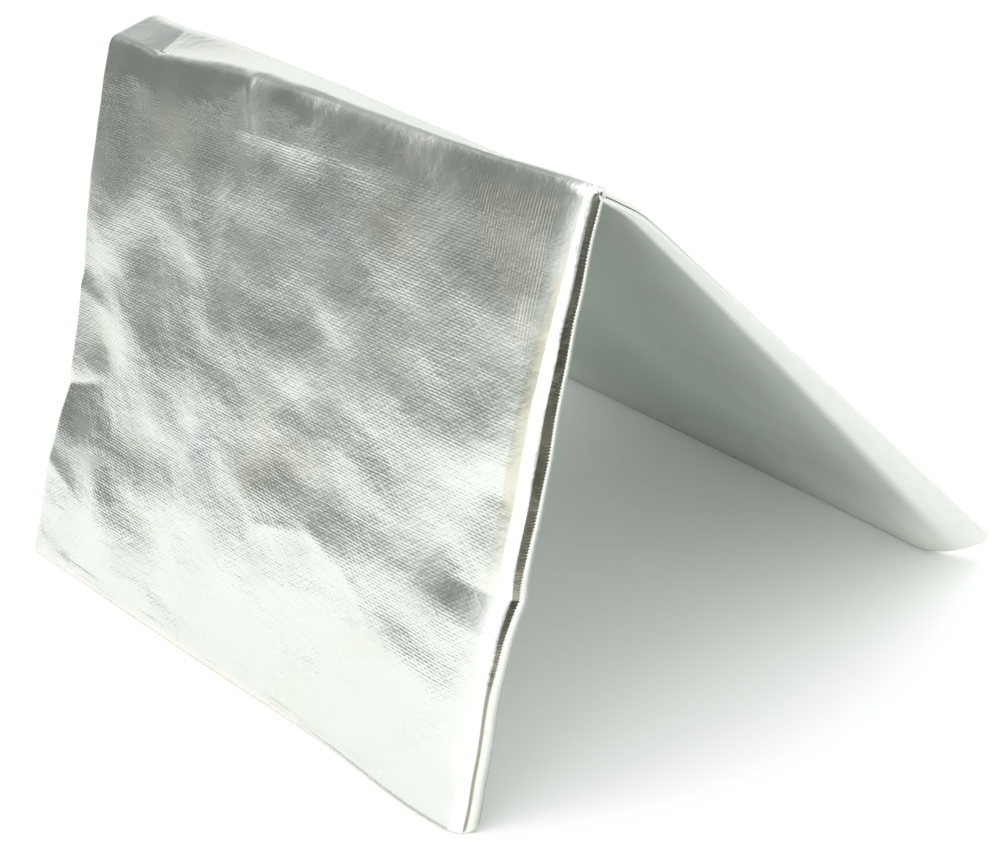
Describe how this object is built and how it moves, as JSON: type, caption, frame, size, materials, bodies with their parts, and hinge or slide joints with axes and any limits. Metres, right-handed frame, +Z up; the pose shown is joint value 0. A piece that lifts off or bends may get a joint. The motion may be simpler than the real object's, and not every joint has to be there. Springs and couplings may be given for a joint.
{
  "type": "adhesive heat barrier sheet",
  "caption": "Rectangular adhesive-backed heat barrier sheet of aluminium-faced woven glass cloth with a white release liner, folded into an upside-down V.",
  "frame": {"origin": "on the floor, under the middle of the folded sheet's bounding box", "axes": "+Z up, the ridge of the fold runs along Y with its near end at -Y, the steep front panel is at -X and the long back panel at +X"},
  "size_m": [0.164, 0.1544, 0.1207],
  "materials": {
    "aluminised_cloth": "satin foil pressed over a plain weave",
    "liner": "satin white coated liner"
  },
  "bodies": {
    "root": {"barrier_sheet": "aluminised_cloth", "release_liner": "liner"}
  },
  "joints": []
}
